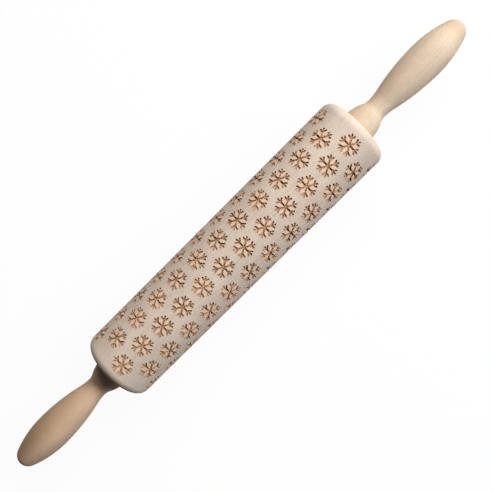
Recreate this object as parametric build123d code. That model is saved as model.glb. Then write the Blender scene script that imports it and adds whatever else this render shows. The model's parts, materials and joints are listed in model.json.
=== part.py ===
from build123d import *
import math
import os

# Rolling pin: a barrel cut with snowflakes, which turns on a steel axle between two turned handles.
# Lengths are in millimetres and angles in degrees. The axle lies along X and the origin is the
# centre of the barrel. The right handle points along +X. Each end piece is drawn for the right
# end and mirrored for the left.

# Barrel
barrel_diameter = 50.0
barrel_length = 222.0
barrel_edge_radius = 6.0

# Snowflakes cut into the barrel, in columns along it. Every second column has one flake less and
# lies half a step along. The columns start near the top and run slightly askew.
column_count = 10
long_column_flakes = 12
flake_spacing = 17.5
flake_radius = 7.35
flake_arms = 6
flake_waist_radius = 1.5
flake_depth = 1.4
first_column_angle = 7.2
column_drift_angle = 6.7

# Steel axle, stepped down at each end to a thread
axle_diameter = 8.0
axle_shoulder = 1.0
axle_thread_length = 22.0
axle_chamfer = 0.6

# Nylon bushes, pressed flush into the ends of the barrel
bush_wall = 4.0
bush_length = 18.0
bush_flange_width = 2.0
bush_flange_thickness = 1.5

# Steel washers between the bushes and the handles
washer_width = 3.5
washer_thickness = 1.0

# Brass inserts in the handles, which the axle screws into
insert_wall = 1.5
insert_length = 15.0
insert_flange_width = 2.0
insert_flange_thickness = 1.2

# Handles: a flared base, a neck, a swelling grip and a rounded nose
base_diameter = 22.6
base_edge_radius = 0.8
neck_diameter = 14.5
grip_diameter = 24.3
flare_length = 17.6
swell_length = 42.7
nose_length = 31.2
nose_radius = 8.0
drill_allowance = 3.0
drill_point_angle = 118.0

# Clearances
running_clearance = 0.05
press_clearance = 0.02
end_play = 0.3
handle_gap = 0.4
axle_hole_clearance = 1.0
washer_seat_clearance = 0.5
cut_overrun = 1.0

# Each S-curve of the handle is two arcs. These are the shares of its length at which they meet,
# from the base to the neck and from the neck to the widest place of the grip.
flare_turn_share = 0.72
swell_turn_share = 0.18

# Radii
barrel_radius = barrel_diameter / 2
axle_radius = axle_diameter / 2
thread_radius = axle_radius - axle_shoulder
bush_radius = axle_radius + bush_wall
bush_flange_radius = bush_radius + bush_flange_width
washer_radius = axle_radius + washer_width
insert_radius = thread_radius + insert_wall
insert_flange_radius = insert_radius + insert_flange_width

# Places along X at the right end
barrel_end = barrel_length / 2
bush_start = barrel_end - bush_length
bush_flange_start = barrel_end - bush_flange_thickness
handle_start = barrel_end + handle_gap
insert_face = barrel_end + end_play + washer_thickness
insert_flange_end = insert_face + insert_flange_thickness
insert_end = insert_face + insert_length
thread_end = insert_face + axle_thread_length
neck_place = barrel_end + flare_length
grip_place = neck_place + swell_length
handle_end = grip_place + nose_length


def rod(start, end, radius):
    """A round bar round the X axis, from one place along it to another."""
    bar = Cylinder(radius, end - start, rotation=(0, 90, 0))
    return Pos(X=(start + end) / 2) * bar


def s_curve(start, end, turn_share):
    """Two arcs that leave one place and reach another along X, and meet on the line between them."""
    turn = Vector(start) + (Vector(end) - Vector(start)) * turn_share
    first = TangentArc(start, turn, tangent=(1, 0))
    return first, TangentArc(first @ 1, end, tangent=first % 1)


def over_barrel(along, around, radius):
    """A point above the top line of the barrel, or beside it by an arc length on the wall."""
    angle = around / barrel_radius
    return Vector(along, radius * math.sin(angle), radius * math.cos(angle))


def flake_cutter():
    """A star whose arms are V-shaped grooves, deepest where they meet and running out at their tips."""
    deepest = over_barrel(0, 0, barrel_radius - flake_depth)
    above = over_barrel(0, 0, barrel_radius + 2 * cut_overrun)
    rise = 1 + cut_overrun / flake_depth
    rim = []
    for corner in range(2 * flake_arms):
        reach = flake_waist_radius if corner % 2 else flake_radius
        angle = math.pi * corner / flake_arms
        edge = over_barrel(reach * math.sin(angle), reach * math.cos(angle), barrel_radius)
        rim.append(deepest + (edge - deepest) * rise)
    faces = []
    for start, end in zip(rim, rim[1:] + rim[:1]):
        faces.append(Face(Wire.make_polygon([deepest, end, start])))
        faces.append(Face(Wire.make_polygon([above, start, end])))
    return Solid(Shell(faces))


def flake_places():
    """The place of each snowflake along the barrel, and its angle from the middle of the first column."""
    places = []
    for column in range(column_count):
        count = long_column_flakes - column % 2
        for row in range(count):
            along = (row - (count - 1) / 2) * flake_spacing
            angle = 360 * column / column_count + column_drift_angle * along / barrel_length
            places.append((along, angle))
    return places


def make_barrel():
    """The wooden barrel, with snowflakes, rounded edges, an axle hole and a stepped seat for each bush."""
    body = rod(-barrel_end, barrel_end, barrel_radius)
    body = fillet(body.edges().filter_by(GeomType.CIRCLE), barrel_edge_radius)
    hole_end = barrel_end + cut_overrun
    seat = rod(bush_start, hole_end, bush_radius + press_clearance)
    seat = seat + rod(bush_flange_start, hole_end, bush_flange_radius + press_clearance)
    hole = rod(-hole_end, hole_end, axle_radius + axle_hole_clearance)
    body = body - hole - seat - mirror(seat, Plane.YZ)
    cutter = flake_cutter()
    body = body - [Pos(X=along) * Rot(X=angle) * cutter for along, angle in flake_places()]
    return Rot(X=first_column_angle) * body


def make_axle():
    """The steel axle, whose shoulders stop against the inserts and leave the barrel its end play."""
    axle = rod(-thread_end, thread_end, thread_radius) + rod(-insert_face, insert_face, axle_radius)
    rings = axle.edges().filter_by(GeomType.CIRCLE).sort_by(Axis.X)
    return chamfer([rings[0], rings[-1]], axle_chamfer)


def make_bush():
    """A nylon bush, with a flange that takes the end thrust of the barrel."""
    bush = rod(bush_start, barrel_end, bush_radius)
    bush = bush + rod(bush_flange_start, barrel_end, bush_flange_radius)
    return bush - rod(bush_start, barrel_end, axle_radius + running_clearance)


def make_washer():
    """A steel washer, which lies on the face of the insert, round the axle."""
    start = insert_face - washer_thickness
    return rod(start, insert_face, washer_radius) - rod(start, insert_face, axle_radius + running_clearance)


def make_insert():
    """A brass insert with a flange at its mouth."""
    insert = rod(insert_face, insert_end, insert_radius)
    insert = insert + rod(insert_face, insert_flange_end, insert_flange_radius)
    return insert - rod(insert_face, insert_end, thread_radius + press_clearance)


def nose_meeting():
    """The place where the long arc of the grip meets the small arc of the nose, tangent inside it."""
    grip_radius = grip_diameter / 2
    nose_centre = Vector(handle_end - nose_radius, 0)
    reach = nose_length - nose_radius
    taper_radius = (reach**2 + grip_radius**2 - nose_radius**2) / (2 * (grip_radius - nose_radius))
    taper_centre = Vector(grip_place, grip_radius - taper_radius)
    return nose_centre + (nose_centre - taper_centre).normalized() * nose_radius


def handle_outline():
    """The outline of a solid handle, on one side of the X axis and closed along it."""
    base_radius = base_diameter / 2
    flare_start = (handle_start + base_edge_radius, base_radius)
    neck = (neck_place, neck_diameter / 2)
    grip = (grip_place, grip_diameter / 2)
    base = Line((handle_start, 0), (handle_start, base_radius - base_edge_radius))
    base_edge = TangentArc(base @ 1, flare_start, tangent=base % 1)
    taper = TangentArc(grip, nose_meeting(), tangent=(1, 0))
    nose = TangentArc(taper @ 1, (handle_end, 0), tangent=taper % 1)
    middle = Line(nose @ 1, base @ 0)
    curves = s_curve(flare_start, neck, flare_turn_share) + s_curve(neck, grip, swell_turn_share)
    return [base, base_edge, *curves, taper, nose, middle]


def make_handle():
    """A turned wooden handle, bored in steps for its washer, its insert and the end of the axle."""
    handle = revolve(make_face(handle_outline()), Axis.X)
    mouth = handle_start - cut_overrun
    drill_radius = thread_radius + press_clearance
    drill_end = thread_end + drill_allowance
    drill_point = drill_radius / math.tan(math.radians(drill_point_angle / 2))
    steps = (
        (insert_face, washer_radius + washer_seat_clearance),
        (insert_flange_end, insert_flange_radius + press_clearance),
        (insert_end, insert_radius + press_clearance),
        (drill_end, drill_radius),
    )
    for end, radius in steps:
        handle = handle - rod(mouth, end, radius)
    tip = Cone(drill_radius, 0, drill_point, rotation=(0, 90, 0))
    return handle - Pos(X=drill_end + drill_point / 2) * tip


pieces = {"barrel": make_barrel(), "axle_rod": make_axle()}
end_pieces = {
    "bearing_bush": make_bush(),
    "thrust_washer": make_washer(),
    "threaded_insert": make_insert(),
    "handle": make_handle(),
}
for name, piece in end_pieces.items():
    pieces[name + "_right"] = piece
    pieces[name + "_left"] = mirror(piece, Plane.YZ)

os.makedirs("parts", exist_ok=True)
for name, piece in pieces.items():
    export_step(piece, f"parts/{name}.step")
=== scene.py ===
"""An embossed rolling pin: a barrel carved with snowflakes that turns between two turned handles.

Every object is in metres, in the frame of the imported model: the axle lies along X, the centre of
the barrel is the origin, and Z points up from the table.
"""
import json
import math

import bmesh
import bpy
from bpy.props import FloatProperty, FloatVectorProperty, IntProperty, PointerProperty
from mathutils import Matrix, Vector
from mathutils.geometry import delaunay_2d_cdt


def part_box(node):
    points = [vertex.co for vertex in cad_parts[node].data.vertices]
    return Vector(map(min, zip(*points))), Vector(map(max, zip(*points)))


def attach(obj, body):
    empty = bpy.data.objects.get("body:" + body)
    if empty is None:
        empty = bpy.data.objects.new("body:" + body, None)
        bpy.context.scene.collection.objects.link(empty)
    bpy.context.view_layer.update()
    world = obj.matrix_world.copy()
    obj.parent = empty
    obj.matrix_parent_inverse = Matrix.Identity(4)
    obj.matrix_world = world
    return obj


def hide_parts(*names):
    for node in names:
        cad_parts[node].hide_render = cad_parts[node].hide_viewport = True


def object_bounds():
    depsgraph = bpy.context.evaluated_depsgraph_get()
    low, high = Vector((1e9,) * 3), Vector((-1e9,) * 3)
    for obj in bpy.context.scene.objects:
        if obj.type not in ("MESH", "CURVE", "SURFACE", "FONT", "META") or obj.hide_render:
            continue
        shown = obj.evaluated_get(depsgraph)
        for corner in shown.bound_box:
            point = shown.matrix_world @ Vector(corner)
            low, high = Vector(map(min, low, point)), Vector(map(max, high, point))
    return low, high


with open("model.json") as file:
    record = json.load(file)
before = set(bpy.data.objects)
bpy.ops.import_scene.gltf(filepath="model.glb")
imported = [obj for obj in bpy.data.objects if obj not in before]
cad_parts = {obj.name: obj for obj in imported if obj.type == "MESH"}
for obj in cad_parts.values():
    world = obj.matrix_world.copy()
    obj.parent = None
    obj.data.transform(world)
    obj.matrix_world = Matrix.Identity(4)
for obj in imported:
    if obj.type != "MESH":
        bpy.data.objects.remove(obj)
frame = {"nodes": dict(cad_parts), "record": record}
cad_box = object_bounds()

bl_info = {
    "name": "Embossed Rolling Pin",
    "version": (1, 0, 0),
    "blender": (4, 5, 0),
    "location": "View3D > Sidebar > Rolling Pin",
    "description": "Carves, turns and finishes the pieces of an embossed rolling pin",
    "category": "Object",
}

MM = 0.001
PLACE_MAP = "flake_place"
TONE_NAME = "flake_tone"
ARMS = 6
ARM_TURN = math.tau / ARMS

# Clearances and steps of the hidden bores, as in the solids
PRESS_GAP = 0.02 * MM
AXLE_GAP = 1.0 * MM
AXLE_SHOULDER = 1.0 * MM
WASHER_GAP = 0.5 * MM
BUSH_FLANGE_WIDTH = 2.0 * MM
BUSH_FLANGE_THICKNESS = 1.5 * MM
INSERT_FLANGE_WIDTH = 2.0 * MM
INSERT_FLANGE_THICKNESS = 1.2 * MM
DRILL_ALLOWANCE = 3.0 * MM
DRILL_HALF_ANGLE = math.radians(59)

# Fineness of the meshes. The points round a snowflake keep clear of it by a share of a step.
TILE_STEPS_AROUND = 12
TILE_STEPS_ALONG = 14
CLEAR_SHARE = 0.35
PRONG_TIP_STEPS = 4
BARREL_EDGE_STEPS = 9
LATHE_STEPS = 96
SHARP_ANGLE = math.radians(35)
SEWING_DISTANCE = 0.01 * MM
POINT_RADIUS = 0.001 * MM


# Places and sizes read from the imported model

def radius_of(low, high):
    """The outer radius of a round piece, from the corners of its box."""
    return max(high.y, -low.y)


wall = next(mount["dims"] for mount in frame["record"]["mounts"] if mount["name"] == "barrel_wall")
barrel_radius = wall["r_mm"] * MM
wall_end = wall["length_mm"] / 2 * MM
barrel_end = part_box("barrel")[1].x
handle_low, handle_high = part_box("handle_right")
insert_low, insert_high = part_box("threaded_insert_right")
washer_low, washer_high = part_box("thrust_washer_right")
bush_low, bush_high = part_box("bearing_bush_right")
axle_low, axle_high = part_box("axle_rod")
floor_height = cad_box[0].z


# Settings that a user can change

def a_number(name, description, default, **limits):
    """A number within limits."""
    return FloatProperty(name=name, description=description, default=default, **limits)


def a_length(name, description, default):
    """A length in metres."""
    return a_number(name, description, default, unit="LENGTH")


def an_angle(name, description, degrees):
    """An angle, whose default is given in degrees."""
    return a_number(name, description, math.radians(degrees), subtype="ANGLE")


def a_colour(name, description, default):
    """A linear colour."""
    return FloatVectorProperty(
        name=name, description=description, default=default, size=3, min=0, max=1, subtype="COLOR")


class PatternSettings(bpy.types.PropertyGroup):
    """The snowflakes and their places on the barrel."""

    columns: IntProperty(
        name="Columns", description="Columns of snowflakes along the barrel, each second one staggered",
        default=10, min=2, step=2)
    rows: IntProperty(
        name="Rows", description="Snowflakes in a full column; a staggered column has one less",
        default=12, min=2)
    pitch: a_length("Pitch", "Distance between the snowflakes of a column", 17.6 * MM)
    slide: a_length("Slide", "Place of the whole pattern along the barrel, from its middle", -0.5 * MM)
    first_angle: an_angle("First Angle", "Place of the first column round the barrel, from the top", 7.2)
    drift: an_angle("Drift", "Turn of each column round the barrel from end to end", 6.7)
    flake_radius: a_length("Flake Radius", "From the middle of a snowflake to the tip of an arm", 7.25 * MM)
    groove_width: a_length("Groove Width", "Width of a carved line at the surface", 1.1 * MM)
    floor_width: a_length("Floor Width", "Width of a carved line at its bottom", 0.96 * MM)
    middle_depth: a_length("Middle Depth", "Depth of the carved lines at a snowflake's middle", 1.4 * MM)
    tip_depth: a_length("Tip Depth", "Depth of the carved lines at the tips of the arms", 0.8 * MM)
    fork_place: a_length("Fork Place", "From the middle of a snowflake to the fork of an arm", 3.9 * MM)
    prong_length: a_length("Prong Length", "Length of a side prong from the fork", 3.15 * MM)
    prong_angle: an_angle("Prong Angle", "Angle between a side prong and its arm", 46)
    seed: IntProperty(name="Seed", description="Varies how strongly each snowflake is burnt", default=7)


class HandleSettings(bpy.types.PropertyGroup):
    """The turned outline of the handles."""

    base_diameter: a_length("Base Diameter", "The foot of a handle, next to the barrel", 22.6 * MM)
    base_edge: a_length("Base Edge", "Radius of the edge of the foot", 0.8 * MM)
    neck_diameter: a_length("Neck Diameter", "The narrowest place of a handle", 14.5 * MM)
    neck_place: a_length("Neck Place", "From the end of the barrel to the neck", 17.6 * MM)
    grip_place: a_length("Grip Place", "From the end of the barrel to the grip's widest place", 60.3 * MM)
    grip_diameter: a_length("Grip Diameter", "The widest place of the grip", 24.3 * MM)
    nose_radius: a_length("Nose Radius", "Rounding of the far end of a handle", 8.0 * MM)
    flare_turn_share: a_number(
        "Flare Turn", "Share of the way from foot to neck where the curve turns", 0.72, min=0, max=1)
    swell_turn_share: a_number(
        "Swell Turn", "Share of the way from neck to grip where the curve turns", 0.18, min=0, max=1)


class FinishSettings(bpy.types.PropertyGroup):
    """The colours of the wood, the carved lines and the fittings."""

    barrel_wood: a_colour("Barrel Wood", "Sanded beech of the barrel", (0.690, 0.574, 0.480))
    petal_wood: a_colour(
        "Petal Wood", "Wood between the arms of a snowflake, warmed by the laser", (0.790, 0.574, 0.418))
    scorch: a_colour("Scorch", "Burnt wood at the bottom of the carved lines", (0.450, 0.272, 0.160))
    tip_burn: a_colour(
        "Tip Burn", "Greyer burn of the carved lines towards the tips of the arms", (0.425, 0.305, 0.218))
    # Painted shade: a dark brown for the lines that run round the barrel, where their walls shade their
    # floors from the key lamp.
    burn_in_painted_shade: a_colour(
        "Burn In Painted Shade", "Charred wood in the short lines that run across the grain", (0.150, 0.058, 0.022))
    left_handle_wood: a_colour(
        "Left Handle Wood", "Turned beech of the left handle, the browner one", (0.660, 0.455, 0.315))
    right_handle_wood: a_colour(
        "Right Handle Wood", "Turned beech of the right handle", (0.700, 0.555, 0.415))
    grain_wood: a_colour("Grain Wood", "The darker grain of the beech", (0.480, 0.320, 0.190))
    # Painted shade: a browner colour on the side of each handle away from the side lamp, strongest where
    # the surface faces away from the key lamp.
    painted_shade_wood: a_colour("Painted Shade Wood", "Browner wood along one side of the handles", (0.360, 0.225, 0.125))
    steel: a_colour("Steel", "Axle and washers", (0.600, 0.600, 0.610))
    nylon: a_colour("Nylon", "Bushes", (0.850, 0.840, 0.800))
    brass: a_colour("Brass", "Threaded inserts", (0.780, 0.600, 0.280))


class StageSettings(bpy.types.PropertyGroup):
    """The camera, the lamps and the floor."""

    camera_distance: a_length("Camera Distance", "From the camera to the middle of the pin", 396.9 * MM)
    camera_roll: an_angle("Camera Roll", "Angle of the pin in the picture, from the horizontal", 44.82)
    camera_tilt: an_angle("Camera Tilt", "How far the right end of the pin leans towards the camera", 4.12)
    shift_right: a_length(
        "Shift Right", "Place of the middle of the pin, right of the picture's middle", -8.06 * MM)
    shift_up: a_length("Shift Up", "Place of the middle of the pin, above the picture's middle", -3.13 * MM)
    lens: a_number("Lens", "Focal length of the camera in millimetres", 44.66, subtype="DISTANCE_CAMERA")
    key_power: a_number("Key Power", "Power of the lamp off the pin's right end, in watts", 42.6, min=0)
    key_elevation: an_angle("Key Elevation", "Height of the key lamp above the horizon", 44)
    key_turn: an_angle("Key Turn", "Place of the key lamp round the pin, from its right end", 5)
    key_width: a_length("Key Width", "Width of the key lamp across the pin", 2.6)
    key_colour: a_colour("Key Colour", "The slightly warm light of the key lamp", (1.0, 0.985, 0.96))
    side_power: a_number("Side Power", "Power of the weak lamp beside the pin, in watts", 3.5, min=0)
    side_elevation: an_angle("Side Elevation", "Height of the side lamp above the horizon", 30)
    side_turn: an_angle("Side Turn", "Place of the side lamp round the pin, from its right end", -45)
    side_colour: a_colour("Side Colour", "The cool light of the side lamp", (0.60, 0.80, 1.0))
    lamp_distance: a_length("Lamp Distance", "From each lamp to the middle of the pin", 1.5)
    lamp_height: a_length("Lamp Height", "Height of each lamp, from edge to edge", 0.3)
    fill_strength: a_number("Fill Strength", "Strength of the light from all round", 0.03, min=0)
    floor_reach: a_length("Floor Reach", "From the middle of the pin to each edge of the floor", 4.0)
    floor_glow: a_number(
        "Floor Glow", "Share of the floor's look that is plain white, with no shadow", 0.94, min=0, max=1)
    floor_bounce: a_number(
        "Floor Bounce", "Share of the light that the floor throws back at the pin", 0.25, min=0, max=1)


# Helpers for node trees

class Graph:
    """A node tree, with short calls for the nodes that the finishes and pattern use."""

    def __init__(self, tree):
        self.tree = tree

    def fill(self, socket, value):
        """Links an input where a socket is given, and sets it where a value is."""
        if isinstance(value, bpy.types.NodeSocket):
            self.tree.links.new(value, socket)
        else:
            socket.default_value = value

    def node(self, kind, inputs=None, **choices):
        """A node with its choices made and its inputs filled."""
        made = self.tree.nodes.new(kind)
        for name, value in choices.items():
            setattr(made, name, value)
        for key, value in (inputs or {}).items():
            self.fill(made.inputs[key], value)
        return made

    def math(self, operation, *values):
        """The result of a Math node."""
        return self.node("ShaderNodeMath", dict(enumerate(values)), operation=operation).outputs[0]

    def vector(self, operation, *values, scale=None):
        """The result of a Vector Math node, which is a number for a length or a dot product."""
        inputs = dict(enumerate(values))
        if scale is not None:
            inputs["Scale"] = scale
        made = self.node("ShaderNodeVectorMath", inputs, operation=operation)
        return made.outputs["Value" if operation in {"LENGTH", "DOT_PRODUCT"} else "Vector"]

    def split(self, vector):
        """The three numbers of a vector."""
        return tuple(self.node("ShaderNodeSeparateXYZ", {"Vector": vector}).outputs)

    def join(self, x=0.0, y=0.0, z=0.0):
        """A vector of three numbers."""
        return self.node("ShaderNodeCombineXYZ", {"X": x, "Y": y, "Z": z}).outputs[0]

    def ramp(self, value, ends):
        """A smooth step between two ends, each of them a value and its result."""
        (low, to_low), (high, to_high) = ends
        inputs = {"Value": value, "From Min": low, "From Max": high, "To Min": to_low, "To Max": to_high}
        made = self.node("ShaderNodeMapRange", inputs, interpolation_type="SMOOTHSTEP")
        return made.outputs["Result"]

    def noise(self, vector, scale, detail=2.0, roughness=0.5):
        """A fractal noise from 0 to 1, with its scale per unit of the vector."""
        inputs = {"Vector": vector, "Scale": scale, "Detail": detail, "Roughness": roughness}
        return self.node("ShaderNodeTexNoise", inputs).outputs[0]

    def mix(self, factor, first, second):
        """A colour between two others."""
        made = self.node("ShaderNodeMix", data_type="RGBA")
        for index, value in ((0, factor), (6, first), (7, second)):
            self.fill(made.inputs[index], value)
        return made.outputs[2]

    def index(self):
        """The number of each point."""
        return self.node("GeometryNodeInputIndex").outputs[0]

    def place(self):
        """The place on a piece, in millimetres."""
        place = self.node("ShaderNodeTexCoord").outputs["Object"]
        return self.vector("SCALE", place, scale=1 / MM)

    def in_view(self):
        """1 for the rays that show a surface, and 0 for those that carry its light to other pieces."""
        path = self.node("ShaderNodeLightPath").outputs
        seen = self.math("MAXIMUM", path["Is Camera Ray"], path["Is Glossy Ray"])
        return self.math("MAXIMUM", seen, path["Is Transmission Ray"])


def new_material(name):
    """An empty material and its graph."""
    material = bpy.data.materials.new(name)
    material.use_nodes = True
    material.node_tree.nodes.clear()
    return material, Graph(material.node_tree)


def finish_surface(graph, inputs, height, strength, depth):
    """Ends a material in a Principled shader, with fine relief of a strength and a depth."""
    relief = graph.node("ShaderNodeBump", {"Height": height, "Strength": strength, "Distance": depth})
    shader = graph.node("ShaderNodeBsdfPrincipled", {**inputs, "Normal": relief.outputs[0]})
    graph.node("ShaderNodeOutputMaterial", {"Surface": shader.outputs[0]})


def opaque(colour):
    """A colour with full alpha."""
    return (*colour, 1.0)


# Values of the finishes. A ramp is two pairs of a value and its result.

# Bare beech. A squeeze below 1 stretches its streaks and flecks along the grain.
STREAK_SQUEEZE = 0.06
FLECK_SQUEEZE = 0.28
STREAK_RAMP = ((0.42, 0.0), (0.72, 0.20))
FLECK_RAMP = ((0.54, 0.0), (0.70, 0.42))
MOTTLE_RAMP = ((0.3, 0.93), (0.7, 1.05))
SPECKLE_RAMP = ((0.25, 0.88), (0.75, 1.10))
KNOT_SCALE = 0.06
KNOT_RAMP = ((0.025, 0.6), (0.06, 0.0))
SPECKLE_RELIEF = 0.5
RING_RELIEF = 0.5

# Engraving, by the distance from the middle line of a groove, in halves of its width. A noise
# makes the edge rough.
NOISE_MIDDLE = 0.5
HALO_RAMP = ((1.0, 0.3), (2.2, 0.0))
BURN_RAMP = ((0.75, 1.0), (1.2, 0.0))

# Engraving, by the place on a snowflake, in shares of its radius; plain wood has a place off it.
# The lines that run round the barrel, across the grain and the key lamp's light, take painted shade:
# they are the stems of two arms and one prong of each of the other four.
PETAL_RAMP = ((0.62, 1.0), (1.02, 0.0))
PETAL_SHARE = 0.85
TIP_RAMP = ((0.5, 0.0), (0.9, 1.0))
STEM_SIDE_RAMP = ((0.10, 1.0), (0.16, 0.0))
STEM_START_RAMP = ((0.18, 0.0), (0.32, 0.85))
STEM_END_RAMP = ((0.44, 1.0), (0.66, 0.0))
PRONG_PLACE = 0.51
PRONG_SIDE_RAMP = ((0.08, 1.0), (0.13, 0.0))
PRONG_START_RAMP = ((0.28, 0.0), (0.4, 0.22))
OFF_FLAKE = (4.0, 4.0)

# How strongly the laser burns, and how rough that leaves the wood
CHAR_RAMP = ((0.3, 0.85), (0.7, 1.3))
TONE_RAMP = ((0.0, 0.92), (1.0, 1.18))
BURN_ROUGHNESS_RAMP = ((0.0, 0.62), (1.0, 0.9))

# Handles, by the share of the way from the foot to the nose, and by the share of the radius
# Painted shade grows towards the left handle's nose and near the right handle's neck, where the surface
# faces away from the key lamp.
LEFT_PAINTED_SHADE_RAMP = ((0.259, 0.36), (0.863, 0.9))
RIGHT_PAINTED_SHADE_RAMP = ((0.259, 0.2), (0.588, 0.04))
PAINTED_SHADE_SIDE_RAMP = ((-0.453, 0.0), (0.453, 1.0))
END_GRAIN_RAMP = ((0.797, 0.0), (0.995, 0.45))

# Fittings
STEEL_ROUGHNESS = 0.28
BRASS_ROUGHNESS = 0.3
MARK_RAMP = ((0.3, 0.8), (0.7, 1.25))
CLOUD_RAMP = ((0.3, 0.94), (0.7, 1.02))


# Finishes

def beech_grain(graph, place, wood, grain):
    """The colour and the height of bare beech, with its grain along X."""
    x, y, z = graph.split(place)

    def squeezed(factor):
        return graph.join(graph.math("MULTIPLY", x, factor), y, z)

    streaks = graph.noise(squeezed(STREAK_SQUEEZE), scale=0.55, detail=4.0, roughness=0.6)
    flecks = graph.noise(squeezed(FLECK_SQUEEZE), scale=2.6, roughness=0.6)
    mottle = graph.noise(place, scale=0.045, detail=3.0, roughness=0.55)
    speckle = graph.noise(place, scale=3.2, detail=3.0, roughness=0.7)
    fleck_share = graph.ramp(flecks, FLECK_RAMP)
    colour = graph.mix(graph.ramp(streaks, STREAK_RAMP), opaque(wood), opaque(grain))
    colour = graph.mix(fleck_share, colour, opaque(grain))
    light = graph.math("MULTIPLY", graph.ramp(mottle, MOTTLE_RAMP), graph.ramp(speckle, SPECKLE_RAMP))
    colour = graph.vector("SCALE", colour, scale=light)
    knots = graph.node("ShaderNodeTexVoronoi", {"Vector": place, "Scale": KNOT_SCALE})
    colour = graph.mix(graph.ramp(knots.outputs["Distance"], KNOT_RAMP), colour, opaque(grain))
    height = graph.math("SUBTRACT", graph.math("MULTIPLY", speckle, SPECKLE_RELIEF), fleck_share)
    return colour, height


def skeleton_distance(graph, pattern, place):
    """The distance from a place on a snowflake to the middle line of its nearest groove."""
    scale = 1 / pattern.flake_radius
    rounding = pattern.groove_width / 2
    fork = Vector((pattern.fork_place * scale, 0, 0))
    reach = (pattern.prong_length - rounding) * scale
    prong = direction(pattern.prong_angle).to_3d() * reach
    x, y = graph.split(place)[:2]
    folded = graph.math("PINGPONG", graph.math("ARCTAN2", y, x), ARM_TURN / 2)
    radius = graph.vector("LENGTH", place)
    across = graph.math("MULTIPLY", radius, graph.math("SINE", folded))
    along = graph.math("MULTIPLY", radius, graph.math("COSINE", folded))
    past_tip = graph.math("MAXIMUM", graph.math("SUBTRACT", along, 1 - rounding * scale), 0.0)
    stem = graph.vector("LENGTH", graph.join(past_tip, across))
    from_fork = graph.vector("SUBTRACT", graph.join(along, across), fork)
    share = graph.math("DIVIDE", graph.vector("DOT_PRODUCT", from_fork, prong), reach**2)
    share = graph.math("MINIMUM", graph.math("MAXIMUM", share, 0.0), 1.0)
    nearest = graph.vector("SCALE", prong, scale=share)
    side = graph.vector("LENGTH", graph.vector("SUBTRACT", from_fork, nearest))
    return graph.math("MINIMUM", stem, side), radius


def painted_shade_share(graph, flake):
    """How much painted shade a place takes, from 0 to 1: its line runs round the barrel, across the grain
    and the light.
    """
    x, y = (graph.math("ABSOLUTE", value) for value in graph.split(flake)[:2])
    stems = graph.math("MULTIPLY", graph.ramp(y, STEM_SIDE_RAMP), graph.ramp(x, STEM_START_RAMP))
    stems = graph.math("MULTIPLY", stems, graph.ramp(x, STEM_END_RAMP))
    beside = graph.math("ABSOLUTE", graph.math("SUBTRACT", y, PRONG_PLACE))
    prongs = graph.math("MULTIPLY", graph.ramp(beside, PRONG_SIDE_RAMP), graph.ramp(x, PRONG_START_RAMP))
    return graph.math("MAXIMUM", stems, prongs)


def engraved_beech(pattern, finish):
    """Sanded beech with laser-burnt grooves, painted shade in those that run round the barrel, a scorched
    rim and warm petals between the arms.
    """
    material, graph = new_material("engraved_beech")
    place = graph.place()
    colour, height = beech_grain(graph, place, finish.barrel_wood, finish.grain_wood)
    flake = graph.node("ShaderNodeUVMap", uv_map=PLACE_MAP).outputs[0]
    tone = graph.node("ShaderNodeAttribute", attribute_name=TONE_NAME).outputs["Fac"]
    distance, radius = skeleton_distance(graph, pattern, flake)
    distance = graph.math("DIVIDE", distance, pattern.groove_width / 2 / pattern.flake_radius)
    rough_edge = graph.math("SUBTRACT", graph.noise(place, scale=2.2), NOISE_MIDDLE)
    distance = graph.math("ADD", distance, rough_edge)
    petal = graph.mix(PETAL_SHARE, colour, opaque(finish.petal_wood))
    colour = graph.mix(graph.ramp(radius, PETAL_RAMP), colour, petal)
    colour = graph.mix(graph.ramp(distance, HALO_RAMP), colour, opaque(finish.scorch))
    char = graph.ramp(graph.noise(place, scale=0.9), CHAR_RAMP)
    char = graph.math("MULTIPLY", char, graph.ramp(tone, TONE_RAMP))
    groove_colour = graph.mix(graph.ramp(radius, TIP_RAMP), opaque(finish.scorch), opaque(finish.tip_burn))
    groove_colour = graph.vector("SCALE", groove_colour, scale=char)
    # Painted shade: the lines that run round the barrel turn dark brown, as if their walls shaded their
    # floors from the key lamp.
    groove_colour = graph.mix(painted_shade_share(graph, flake), groove_colour, opaque(finish.burn_in_painted_shade))
    burnt = graph.ramp(distance, BURN_RAMP)
    inputs = {
        "Base Color": graph.mix(burnt, colour, groove_colour),
        "Roughness": graph.ramp(burnt, BURN_ROUGHNESS_RAMP),
        "Specular IOR Level": 0.1,
    }
    finish_surface(graph, inputs, height, strength=0.25, depth=0.06 * MM)
    return material


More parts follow.
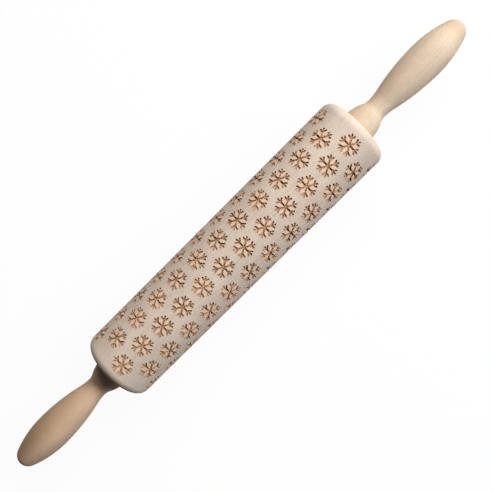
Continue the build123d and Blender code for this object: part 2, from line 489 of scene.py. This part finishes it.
def turned_beech(name, wood, finish, painted_shade_ramp):
    """Smooth turned beech with painted shade on one side, browner at the end grain of its nose, with tool
    rings.
    """
    material, graph = new_material(name)
    place = graph.place()
    colour, height = beech_grain(graph, place, wood, finish.grain_wood)
    x, y = graph.split(place)[:2]
    along = graph.math("SUBTRACT", graph.math("ABSOLUTE", x), handle_low.x / MM)
    along = graph.math("DIVIDE", along, (handle_high.x - handle_low.x) / MM)
    side = graph.math("DIVIDE", y, radius_of(handle_low, handle_high) / MM)
    # Painted shade on the side away from the side lamp, along the handle as its ramp says.
    painted_shade = graph.math("MULTIPLY", graph.ramp(along, painted_shade_ramp), graph.ramp(side, PAINTED_SHADE_SIDE_RAMP))
    colour = graph.mix(painted_shade, colour, opaque(finish.painted_shade_wood))
    colour = graph.mix(graph.ramp(along, END_GRAIN_RAMP), colour, opaque(finish.grain_wood))
    rings = graph.noise(graph.join(x), scale=1.6, detail=3.0, roughness=0.7)
    height = graph.math("MULTIPLY_ADD", rings, RING_RELIEF, height)
    inputs = {"Base Color": colour, "Roughness": 0.6, "Specular IOR Level": 0.12}
    finish_surface(graph, inputs, height, strength=0.2, depth=0.05 * MM)
    return material


def drawn_metal(name, colour, roughness):
    """Metal with fine marks round its axis, as drawn or turned bar has."""
    material, graph = new_material(name)
    x = graph.split(graph.place())[0]
    marks = graph.noise(graph.join(x), scale=9.0, detail=3.0, roughness=0.7)
    rough = graph.math("MULTIPLY", graph.ramp(marks, MARK_RAMP), roughness)
    inputs = {"Base Color": opaque(colour), "Metallic": 1.0, "Roughness": rough}
    finish_surface(graph, inputs, marks, strength=0.15, depth=0.01 * MM)
    return material


def moulded_nylon(finish):
    """Natural nylon, slightly cloudy."""
    material, graph = new_material("moulded_nylon")
    place = graph.place()
    cloud = graph.ramp(graph.noise(place, scale=0.4), CLOUD_RAMP)
    inputs = {"Base Color": graph.vector("SCALE", finish.nylon, scale=cloud), "Roughness": 0.45}
    finish_surface(graph, inputs, graph.noise(place, scale=6.0), strength=0.1, depth=0.02 * MM)
    return material


# Curves of turned outlines

def s_curve(start, end, turn_share, steps):
    """Points on two arcs that leave one place and reach another along the axis, after the first."""
    length, rise = end[0] - start[0], end[1] - start[1]
    whole = (length**2 + rise**2) / (2 * abs(rise))
    first, second = whole * turn_share, whole * (1 - turn_share)
    sign = math.copysign(1, rise)
    points = []
    for step in range(1, steps + 1):
        place = length * step / steps
        if place <= length * turn_share:
            radius = start[1] + sign * (first - math.sqrt(first**2 - place**2))
        else:
            radius = end[1] - sign * (second - math.sqrt(second**2 - (length - place) ** 2))
        points.append((start[0] + place, radius))
    return points


def arc(centre, radius, start, end, steps):
    """Points on an arc between two angles, after the first."""
    angles = [start + (end - start) * step / steps for step in range(1, steps + 1)]
    return [(centre[0] + radius * math.cos(a), centre[1] + radius * math.sin(a)) for a in angles]


# The flat tile of one snowflake

def direction(angle):
    """The unit vector at an angle from the first axis."""
    return Vector((math.cos(angle), math.sin(angle)))


def arm_half(pattern, half_width):
    """One side of an arm that lies along the first axis, from beside its tip to beside its stem."""
    rounding = pattern.groove_width / 2
    turn = pattern.prong_angle
    fork = Vector((pattern.fork_place, 0))
    tip = Vector((pattern.flake_radius - rounding, 0))
    prong_tip = fork + direction(turn) * (pattern.prong_length - rounding)
    crotch = fork + Vector((half_width / math.tan(turn / 2), half_width))
    armpit = fork + Vector((-half_width * math.tan(turn / 2), half_width))
    notch = Vector((half_width / math.tan(ARM_TURN / 2), half_width))
    shoulder = tip + Vector((0, half_width))
    points = [tip + direction(math.pi / 4) * half_width, shoulder, (shoulder + crotch) / 2, crotch]
    for step in range(PRONG_TIP_STEPS + 1):
        angle = turn - math.pi / 2 + math.pi * step / PRONG_TIP_STEPS
        points.append(prong_tip + direction(angle) * half_width)
    return points + [armpit, armpit.lerp(notch, 1 / 3), armpit.lerp(notch, 2 / 3)]


def flake_outline(pattern, centre, half_width):
    """The closed outline of a snowflake's grooves round its centre, anticlockwise."""
    half = arm_half(pattern, half_width)
    tip = Vector((pattern.flake_radius - pattern.groove_width / 2 + half_width, 0))
    notch = Matrix.Rotation(ARM_TURN / 2, 2) @ Vector((half_width / math.sin(ARM_TURN / 2), 0))
    arm = [Vector((p.x, -p.y)) for p in reversed(half)] + [tip] + half + [notch]
    turns = [Matrix.Rotation(ARM_TURN * k, 2) for k in range(ARMS)]
    return [centre + turn @ point for turn in turns for point in arm]


def line_distance(pattern, point):
    """The distance from a point of a snowflake to the middle line of its nearest groove."""
    rounding = pattern.groove_width / 2
    angle = abs((math.atan2(point.y, point.x) + ARM_TURN / 2) % ARM_TURN - ARM_TURN / 2)
    folded = direction(angle) * point.length
    fork = Vector((pattern.fork_place, 0))
    prong = direction(pattern.prong_angle) * (pattern.prong_length - rounding)
    stem = Vector((max(folded.x - pattern.flake_radius + rounding, 0), folded.y)).length
    share = min(max((folded - fork).dot(prong) / prong.length_squared, 0), 1)
    return min(stem, (folded - fork - prong * share).length)


def groove_depth(pattern, radius):
    """The depth of a groove's floor, which rises from the middle of the snowflake to its tips."""
    share = min(radius / pattern.flake_radius, 1)
    return pattern.middle_depth + (pattern.tip_depth - pattern.middle_depth) * share


def inside(point, loop):
    """Whether a point lies inside a closed loop."""
    crossings = 0
    for start, end in zip(loop, loop[1:] + loop[:1]):
        if (start.y > point.y) != (end.y > point.y):
            share = (point.y - start.y) / (end.y - start.y)
            crossings += point.x < start.x + share * (end.x - start.x)
    return crossings % 2 == 1


def triangulate(loops, loose, keep):
    """Anticlockwise triangles between loops and loose points, as indices, where keep says so."""
    points = [point for loop in loops for point in loop] + loose
    edges, start = [], 0
    for loop in loops:
        count = len(loop)
        edges += [(start + i, start + (i + 1) % count) for i in range(count)]
        start += count
    all_triangles, tolerance = 0, 1e-9
    _, _, faces, sources, *_ = delaunay_2d_cdt(points, edges, [], all_triangles, tolerance)
    triangles = []
    for face in faces:
        order = [sources[i][0] for i in face]
        a, b, c = (points[i] for i in order)
        if keep((a + b + c) / 3):
            triangles.append(order if (b - a).cross(c - a) > 0 else order[::-1])
    return triangles


def border(width, height, across, up):
    """The closed border of a tile, anticlockwise, with its sides in equal steps."""
    low, high = Vector((-width / 2, -height / 2)), Vector((width / 2, height / 2))
    points = [Vector((low.x + width * i / across, low.y)) for i in range(across)]
    points += [Vector((high.x, low.y + height * i / up)) for i in range(up)]
    points += [Vector((high.x - width * i / across, high.y)) for i in range(across)]
    points += [Vector((low.x, high.y - height * i / up)) for i in range(up)]
    return points


def flat_mesh(name, points, faces, place_of):
    """A mesh whose corners carry their place on a snowflake, as a share of its radius."""
    mesh = bpy.data.meshes.new(name)
    mesh.from_pydata(points, [], faces)
    layer = mesh.uv_layers.new(name=PLACE_MAP)
    for corner in mesh.loops:
        layer.data[corner.index].uv = place_of(mesh.vertices[corner.vertex_index].co)
    return bpy.data.objects.new(name, mesh)


def ground_points(pattern, width, centre):
    """Points of a grid over a tile that keep clear of the lines of its snowflake."""
    clear = pattern.groove_width / 2 + width / TILE_STEPS_AROUND * CLEAR_SHARE
    points = []
    for i in range(1, TILE_STEPS_AROUND):
        x = (i / TILE_STEPS_AROUND - 0.5) * width
        for j in range(1, TILE_STEPS_ALONG):
            point = Vector((x, (j / TILE_STEPS_ALONG - 0.5) * pattern.pitch))
            if line_distance(pattern, point - centre) > clear:
                points.append(point)
    return points


def snowflake_tile(pattern, width):
    """A tile of the barrel's wall, laid flat, with one snowflake carved into it."""
    rim = border(width, pattern.pitch, TILE_STEPS_AROUND, TILE_STEPS_ALONG)
    centre = Vector((0, pattern.slide))
    outline = flake_outline(pattern, centre, pattern.groove_width / 2)
    floor = flake_outline(pattern, centre, pattern.floor_width / 2)
    loose = ground_points(pattern, width, centre)
    ground = triangulate([rim, outline], loose, lambda middle: not inside(middle, outline))
    bottom = triangulate([floor], [], lambda middle: inside(middle, floor))
    points = [(p.x, p.y, 0.0) for p in rim + outline + loose]
    top, deep, count = len(rim), len(points), len(outline)
    points += [(p.x, p.y, -groove_depth(pattern, (p - centre).length)) for p in floor]
    walls = []
    for i in range(count):
        after = (i + 1) % count
        walls.append([top + i, top + after, deep + after, deep + i])
    faces = ground + walls + [[deep + i for i in face] for face in bottom]
    scale = 1 / pattern.flake_radius
    return flat_mesh("snowflake_tile", points, faces, lambda point: (point.xy - centre) * scale)


def grid_mesh(name, rows, flipped=False):
    """A strip of quads over rows of points, with no snowflake on it."""
    across = len(rows[0])
    faces = []
    for j in range(len(rows) - 1):
        for i in range(across - 1):
            a, b = j * across + i, (j + 1) * across + i
            quad = [a, a + 1, b + 1, b]
            faces.append(quad[::-1] if flipped else quad)
    return flat_mesh(name, [point for row in rows for point in row], faces, lambda point: OFF_FLAKE)


def tile_row(width, place, height):
    """Points in equal steps over the width of a tile."""
    steps = range(TILE_STEPS_AROUND + 1)
    return [(width * (i / TILE_STEPS_AROUND - 0.5), place, height) for i in steps]


def plain_tile(pattern, width):
    """Half a tile with no snowflake, for the ends of the staggered columns."""
    steps = TILE_STEPS_ALONG // 2
    places = [pattern.pitch / 2 * (j / steps - 0.5) for j in range(steps + 1)]
    return grid_mesh("plain_tile", [tile_row(width, place, 0.0) for place in places])


def end_profile(pattern):
    """Places and radii from the last snowflake over the end of the barrel to the middle of its bore."""
    edge = barrel_end - wall_end
    hole = radius_of(axle_low, axle_high) + AXLE_GAP
    seat = radius_of(bush_low, bush_high) + PRESS_GAP
    sleeve = seat - BUSH_FLANGE_WIDTH
    flange_start = barrel_end - BUSH_FLANGE_THICKNESS
    profile = [(pattern.pitch * pattern.rows / 2, barrel_radius)]
    profile += arc((wall_end, barrel_radius - edge), edge, math.pi / 2, 0.0, BARREL_EDGE_STEPS)
    profile += [(barrel_end, (barrel_radius + seat) / 2), (barrel_end, seat), (flange_start, seat)]
    profile += [(flange_start, sleeve), (bush_low.x, sleeve), (bush_low.x, hole), (0.0, hole)]
    return profile


def end_strip(pattern, width, side):
    """A strip one tile wide over one end of the barrel."""
    profile = end_profile(pattern)
    rows = [tile_row(width, place * side, radius - barrel_radius) for place, radius in profile]
    return grid_mesh("end_strip", rows, flipped=side < 0)


# The tree that repeats the tiles and rolls them up

TREE_INPUTS = {
    "Snowflake Tile": "Object", "Plain Tile": "Object", "Left End": "Object", "Right End": "Object",
    "Columns": "Int", "Rows": "Int", "Pitch": "Float", "Barrel Radius": "Float",
    "First Angle": "Float", "Drift": "Float", "Seed": "Int", "Material": "Material",
}


def copies(graph, given, tile, count, place, chosen=True):
    """Copies of a tile at as many places as a count says, where they are chosen."""
    points = graph.node("GeometryNodePoints", {"Count": count, "Position": place}).outputs[0]
    shape = graph.node("GeometryNodeObjectInfo", {"Object": given[tile]}).outputs["Geometry"]
    inputs = {"Points": points, "Selection": chosen, "Instance": shape}
    return graph.node("GeometryNodeInstanceOnPoints", inputs).outputs[0]


def snowflakes(graph, given, width):
    """The snowflake tiles, column by column, each with its own tone."""
    index = graph.index()
    column = graph.math("FLOOR", graph.math("DIVIDE", index, given["Rows"]))
    row = graph.math("MODULO", index, given["Rows"])
    odd = graph.math("MODULO", column, 2.0)
    last = graph.math("SUBTRACT", given["Rows"], 1.0)
    middle = graph.math("DIVIDE", graph.math("SUBTRACT", last, odd), 2.0)
    along = graph.math("MULTIPLY", graph.math("SUBTRACT", row, middle), given["Pitch"])
    place = graph.join(graph.math("MULTIPLY", column, width), along)
    kept = graph.math("LESS_THAN", graph.math("ADD", row, odd), graph.math("ADD", last, 0.5))
    count = graph.math("MULTIPLY", given["Columns"], given["Rows"])
    tone = graph.node("FunctionNodeRandomValue", {"Seed": given["Seed"]}).outputs[1]
    flakes = copies(graph, given, "Snowflake Tile", count, place, kept)
    inputs = {"Geometry": flakes, "Name": TONE_NAME, "Value": tone}
    return graph.node("GeometryNodeStoreNamedAttribute", inputs, domain="INSTANCE").outputs[0]


def blanks(graph, given, width):
    """The plain half tiles at both ends of every second column."""
    index = graph.index()
    side = graph.math("MULTIPLY_ADD", graph.math("MODULO", index, 2.0), 2.0, -1.0)
    pair = graph.math("FLOOR", graph.math("DIVIDE", index, 2.0))
    column = graph.math("MULTIPLY_ADD", pair, 2.0, 1.0)
    reach = graph.math("MULTIPLY_ADD", given["Rows"], 0.5, -0.25)
    along = graph.math("MULTIPLY", graph.math("MULTIPLY", given["Pitch"], reach), side)
    place = graph.join(graph.math("MULTIPLY", column, width), along)
    return copies(graph, given, "Plain Tile", given["Columns"], place)


def end_strips(graph, given, width, name):
    """The strips over one end of the barrel, one for each column."""
    place = graph.join(graph.math("MULTIPLY", graph.index(), width))
    return copies(graph, given, name, given["Columns"], place)


def rolled_place(graph, given):
    """The place on the round barrel of a point of the flat tiles."""
    across, along, up = graph.split(graph.node("GeometryNodeInputPosition").outputs[0])
    turn = graph.math("MULTIPLY_ADD", along, given["Drift"], given["First Angle"])
    angle = graph.math("ADD", graph.math("DIVIDE", across, given["Barrel Radius"]), turn)
    radius = graph.math("ADD", up, given["Barrel Radius"])
    sideways = graph.math("MULTIPLY", radius, graph.math("SINE", angle))
    height = graph.math("MULTIPLY", radius, graph.math("COSINE", angle))
    return graph.join(along, graph.math("MULTIPLY", sideways, -1.0), height)


def pattern_tree():
    """A Geometry Nodes tree that lays the tiles out flat and rolls them round the barrel."""
    tree = bpy.data.node_groups.new("roll_snowflakes", "GeometryNodeTree")
    sockets = {}
    for name, kind in TREE_INPUTS.items():
        socket = tree.interface.new_socket(name, in_out="INPUT", socket_type="NodeSocket" + kind)
        sockets[name] = socket.identifier
    tree.interface.new_socket("Barrel", in_out="OUTPUT", socket_type="NodeSocketGeometry")
    graph = Graph(tree)
    given = graph.node("NodeGroupInput").outputs
    girth = graph.math("MULTIPLY", given["Barrel Radius"], math.tau)
    width = graph.math("DIVIDE", girth, given["Columns"])
    joined = graph.node("GeometryNodeJoinGeometry")
    for part in (
        snowflakes(graph, given, width),
        blanks(graph, given, width),
        end_strips(graph, given, width, "Left End"),
        end_strips(graph, given, width, "Right End"),
    ):
        tree.links.new(part, joined.inputs[0])
    barrel = graph.node("GeometryNodeRealizeInstances", {"Geometry": joined.outputs[0]}).outputs[0]
    for kind, inputs in (
        ("GeometryNodeSetPosition", {"Position": rolled_place(graph, given)}),
        ("GeometryNodeMergeByDistance", {"Distance": SEWING_DISTANCE}),
        ("GeometryNodeSetMaterial", {"Material": given["Material"]}),
    ):
        barrel = graph.node(kind, {"Geometry": barrel, **inputs}).outputs[0]
    graph.node("NodeGroupOutput", {"Barrel": barrel})
    return tree, sockets


def plain_result(piece):
    """Replaces a piece's mesh by what its modifiers make, and removes them."""
    evaluated = piece.evaluated_get(bpy.context.evaluated_depsgraph_get())
    mesh = bpy.data.meshes.new_from_object(evaluated)
    piece.modifiers.clear()
    piece.data = mesh
    mesh.name = piece.name


def smooth(mesh):
    """Smooth shading, with sharp edges where the faces turn by more than the sharp angle."""
    mesh.polygons.foreach_set("use_smooth", [True] * len(mesh.polygons))
    mesh.set_sharp_from_angle(angle=SHARP_ANGLE)
    mesh.update()


def show(piece):
    """Links a piece to the scene."""
    bpy.context.scene.collection.objects.link(piece)
    return piece


class PIN_OT_carve_barrel(bpy.types.Operator):
    """Roll up the barrel from tiles that each carry a snowflake"""

    bl_idname = "rolling_pin.carve_barrel"
    bl_label = "Carve Barrel"

    def execute(self, context):
        pattern = context.scene.pin_pattern
        width = math.tau * barrel_radius / pattern.columns
        tiles = {
            "Snowflake Tile": snowflake_tile(pattern, width),
            "Plain Tile": plain_tile(pattern, width),
            "Left End": end_strip(pattern, width, -1),
            "Right End": end_strip(pattern, width, 1),
        }
        values = {
            **tiles,
            "Columns": pattern.columns,
            "Rows": pattern.rows,
            "Pitch": pattern.pitch,
            "Barrel Radius": barrel_radius,
            "First Angle": pattern.first_angle,
            "Drift": pattern.drift / (2 * barrel_end),
            "Seed": pattern.seed,
            "Material": engraved_beech(pattern, context.scene.pin_finish),
        }
        barrel = show(bpy.data.objects.new("snowflake_barrel", bpy.data.meshes.new("snowflake_barrel")))
        modifier = barrel.modifiers.new("roll_snowflakes", "NODES")
        modifier.node_group, sockets = pattern_tree()
        for name, value in values.items():
            modifier[sockets[name]] = value
        plain_result(barrel)
        for tile in tiles.values():
            bpy.data.objects.remove(tile)
        if not barrel.data.polygons:
            raise RuntimeError("the barrel came out empty")
        smooth(barrel.data)
        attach(barrel, "barrel")
        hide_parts("barrel")
        return {"FINISHED"}


# Turned handles

def bore_profile():
    """Places and radii of a handle's bore, from the point of the drill to the mouth."""
    drill_radius = radius_of(axle_low, axle_high) - AXLE_SHOULDER + PRESS_GAP
    drill_end = axle_high.x + DRILL_ALLOWANCE
    drill_point = drill_radius / math.tan(DRILL_HALF_ANGLE)
    flange = radius_of(insert_low, insert_high) + PRESS_GAP
    flange_end = insert_low.x + INSERT_FLANGE_THICKNESS
    sleeve = flange - INSERT_FLANGE_WIDTH
    mouth = radius_of(washer_low, washer_high) + WASHER_GAP
    return [
        (drill_end + drill_point, 0.0), (drill_end, drill_radius), (insert_high.x, drill_radius),
        (insert_high.x, sleeve), (flange_end, sleeve), (flange_end, flange),
        (insert_low.x, flange), (insert_low.x, mouth), (handle_low.x, mouth),
    ]


def handle_profile(handles):
    """Places and radii of a handle, from the point of its bore over its mouth to its nose."""
    edge_steps, flare_steps, swell_steps, taper_steps, nose_steps = 5, 28, 40, 24, 16
    base = handles.base_diameter / 2
    edge = handles.base_edge
    neck = (barrel_end + handles.neck_place, handles.neck_diameter / 2)
    grip_place, grip = barrel_end + handles.grip_place, handles.grip_diameter / 2
    nose = handles.nose_radius
    profile = bore_profile() + [(handle_low.x, base - edge)]
    profile += arc((handle_low.x + edge, base - edge), edge, math.pi, math.pi / 2, edge_steps)
    profile += s_curve(profile[-1], neck, handles.flare_turn_share, flare_steps)
    profile += s_curve(profile[-1], (grip_place, grip), handles.swell_turn_share, swell_steps)
    reach = handle_high.x - nose - grip_place
    taper = (reach**2 + grip**2 - nose**2) / (2 * (grip - nose))
    meeting = math.atan2(taper - grip, reach)
    profile += arc((grip_place, grip - taper), taper, math.pi / 2, meeting, taper_steps)
    profile += arc((handle_high.x - nose, 0.0), nose, meeting, 0.0, nose_steps)
    return profile


def lathe(name, profile, side):
    """A closed turned solid round the X axis, from a profile that starts and ends on the axis."""
    angles = [math.tau * i / LATHE_STEPS for i in range(LATHE_STEPS)]
    form = bmesh.new()
    rings = []
    for place, radius in profile:
        turns = angles if radius > POINT_RADIUS else [0.0]
        ring = [(place * side, radius * math.cos(a), radius * math.sin(a)) for a in turns]
        rings.append([form.verts.new(point) for point in ring])
    for first, second in zip(rings, rings[1:]):
        for i in range(LATHE_STEPS):
            corners = [first[i % len(first)], first[(i + 1) % len(first)]]
            corners += [second[(i + 1) % len(second)], second[i % len(second)]]
            form.faces.new(list(dict.fromkeys(corners)))
    bmesh.ops.recalc_face_normals(form, faces=form.faces)
    mesh = bpy.data.meshes.new(name)
    form.to_mesh(mesh)
    form.free()
    return bpy.data.objects.new(name, mesh)


class PIN_OT_turn_handles(bpy.types.Operator):
    """Turn both handles on the lathe from one profile"""

    bl_idname = "rolling_pin.turn_handles"
    bl_label = "Turn Handles"

    def execute(self, context):
        finish = context.scene.pin_finish
        profile = handle_profile(context.scene.pin_handles)
        # Each handle has its own wood and its own ramp of painted shade.
        for name, side, wood, painted_shade_ramp in (
            ("left", -1, finish.left_handle_wood, LEFT_PAINTED_SHADE_RAMP),
            ("right", 1, finish.right_handle_wood, RIGHT_PAINTED_SHADE_RAMP),
        ):
            handle = show(lathe("turned_handle_" + name, profile, side))
            handle.data.materials.append(turned_beech("turned_beech_" + name, wood, finish, painted_shade_ramp))
            smooth(handle.data)
            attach(handle, "handles")
            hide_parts("handle_" + name)
        return {"FINISHED"}


class PIN_OT_finish_fittings(bpy.types.Operator):
    """Give the axle, washers, bushes and inserts their metal and nylon"""

    bl_idname = "rolling_pin.finish_fittings"
    bl_label = "Finish Fittings"

    def execute(self, context):
        finish = context.scene.pin_finish
        steel = drawn_metal("drawn_steel", finish.steel, STEEL_ROUGHNESS)
        brass = drawn_metal("turned_brass", finish.brass, BRASS_ROUGHNESS)
        nylon = moulded_nylon(finish)
        for name, material in (
            ("axle_rod", steel), ("thrust_washer", steel),
            ("threaded_insert", brass), ("bearing_bush", nylon),
        ):
            found = [node for key, node in frame["nodes"].items() if key.startswith(name)]
            if not found:
                raise RuntimeError(f"the packed model has no {name}")
            for node in found:
                node.data.materials.clear()
                node.data.materials.append(material)
        return {"FINISHED"}


# The stage

WHITE = (1.0, 1.0, 1.0, 1.0)
FLOOR_PAINT = (0.9, 0.9, 0.9, 1.0)
CLIP_START = 10 * MM


def floor_finish(stage):
    """A white floor that keeps a faint shadow."""
    material, graph = new_material("white_floor")
    white = graph.node("ShaderNodeEmission", {"Color": WHITE, "Strength": 1.0}).outputs[0]
    paint = graph.node("ShaderNodeBsdfDiffuse", {"Color": FLOOR_PAINT}).outputs[0]
    grey = opaque([stage.floor_bounce] * 3)
    dull = graph.node("ShaderNodeBsdfDiffuse", {"Color": grey}).outputs[0]
    bright = graph.node("ShaderNodeMixShader", {0: stage.floor_glow, 1: paint, 2: white}).outputs[0]
    surface = graph.node("ShaderNodeMixShader", {0: graph.in_view(), 1: dull, 2: bright}).outputs[0]
    graph.node("ShaderNodeOutputMaterial", {"Surface": surface})
    return material


def make_floor(stage):
    """A square floor under the pin."""
    reach = stage.floor_reach
    mesh = bpy.data.meshes.new("floor")
    corners = [(-reach, -reach), (reach, -reach), (reach, reach), (-reach, reach)]
    mesh.from_pydata([(x, y, floor_height) for x, y in corners], [], [(0, 1, 2, 3)])
    mesh.materials.append(floor_finish(stage))
    show(bpy.data.objects.new("floor", mesh))


def make_lamp(name, power, colour, width, height, place):
    """A soft box that shines on the middle of the pin, with its width level."""
    lamp = bpy.data.lights.new(name, "AREA")
    lamp.shape = "RECTANGLE"
    lamp.size, lamp.size_y = width, height
    lamp.energy = power
    lamp.color = colour
    holder = show(bpy.data.objects.new(name, lamp))
    holder.location = place
    holder.rotation_euler = place.to_track_quat("Z", "Y").to_euler()


def aim(turn, elevation, reach=1.0):
    """A vector of a length, turned from the first axis and raised above the level."""
    level = reach * math.cos(elevation)
    return Vector((level * math.cos(turn), level * math.sin(turn), reach * math.sin(elevation)))


def make_lights(stage):
    """A wide key light off the right end of the pin, a weak one beside it and a faint fill."""
    height = stage.lamp_height
    place = aim(stage.key_turn, stage.key_elevation, stage.lamp_distance)
    make_lamp("key_light", stage.key_power, stage.key_colour, stage.key_width, height, place)
    place = aim(stage.side_turn, stage.side_elevation, stage.lamp_distance)
    make_lamp("side_light", stage.side_power, stage.side_colour, height, height, place)
    world = bpy.data.worlds.new("studio")
    world.use_nodes = True
    world.node_tree.nodes.clear()
    graph = Graph(world.node_tree)
    fill_light, white = (
        graph.node("ShaderNodeBackground", {"Color": WHITE, "Strength": strength}).outputs[0]
        for strength in (stage.fill_strength, 1.0)
    )
    mixed = graph.node("ShaderNodeMixShader", {0: graph.in_view(), 1: fill_light, 2: white})
    graph.node("ShaderNodeOutputWorld", {"Surface": mixed.outputs[0]})
    bpy.context.scene.world = world


def make_camera(stage):
    """A camera above the pin, which lies at an angle in the picture with its right end nearer."""
    along = aim(stage.camera_roll, stage.camera_tilt)
    up = Vector((0, 0, 1))
    up = (up - along * along.dot(up)).normalized()
    to_world = Matrix((along, up.cross(along), up))
    middle = Vector((stage.shift_right, stage.shift_up, -stage.camera_distance))
    data = bpy.data.cameras.new("camera")
    data.lens = stage.lens
    data.clip_start = CLIP_START
    camera = show(bpy.data.objects.new("camera", data))
    camera.matrix_world = Matrix.Translation(-(to_world @ middle)) @ to_world.to_4x4()
    bpy.context.scene.camera = camera


class PIN_OT_set_stage(bpy.types.Operator):
    """Set up the floor, the lamps and the camera"""

    bl_idname = "rolling_pin.set_stage"
    bl_label = "Set Stage"

    def execute(self, context):
        stage = context.scene.pin_stage
        make_floor(stage)
        make_lights(stage)
        make_camera(stage)
        context.scene.view_settings.view_transform = "Standard"
        return {"FINISHED"}


# Each step, with its settings

STEPS = {
    "pin_pattern": (PatternSettings, PIN_OT_carve_barrel),
    "pin_handles": (HandleSettings, PIN_OT_turn_handles),
    "pin_finish": (FinishSettings, PIN_OT_finish_fittings),
    "pin_stage": (StageSettings, PIN_OT_set_stage),
}


class PIN_PT_rolling_pin(bpy.types.Panel):
    """The steps that make the rolling pin, with their settings"""

    bl_idname = "PIN_PT_rolling_pin"
    bl_label = "Rolling Pin"
    bl_space_type = "VIEW_3D"
    bl_region_type = "UI"
    bl_category = "Rolling Pin"

    def draw(self, context):
        for name, (group, step) in STEPS.items():
            box = self.layout.box()
            for setting in group.__annotations__:
                box.prop(getattr(context.scene, name), setting)
            box.operator(step.bl_idname)


def register():
    """Registers the classes and hangs the settings on the scene."""
    for name, (group, step) in STEPS.items():
        bpy.utils.register_class(group)
        setattr(bpy.types.Scene, name, PointerProperty(type=group))
        bpy.utils.register_class(step)
    bpy.utils.register_class(PIN_PT_rolling_pin)


def unregister():
    """Takes the settings off the scene and removes the classes."""
    bpy.utils.unregister_class(PIN_PT_rolling_pin)
    for name, (group, step) in reversed(STEPS.items()):
        bpy.utils.unregister_class(step)
        delattr(bpy.types.Scene, name)
        bpy.utils.unregister_class(group)


def main():
    """Makes every piece and the stage."""
    register()
    bpy.ops.rolling_pin.carve_barrel()
    bpy.ops.rolling_pin.turn_handles()
    bpy.ops.rolling_pin.finish_fittings()
    bpy.ops.rolling_pin.set_stage()
    bpy.context.view_layer.update()


if __name__ == "__main__":
    main()
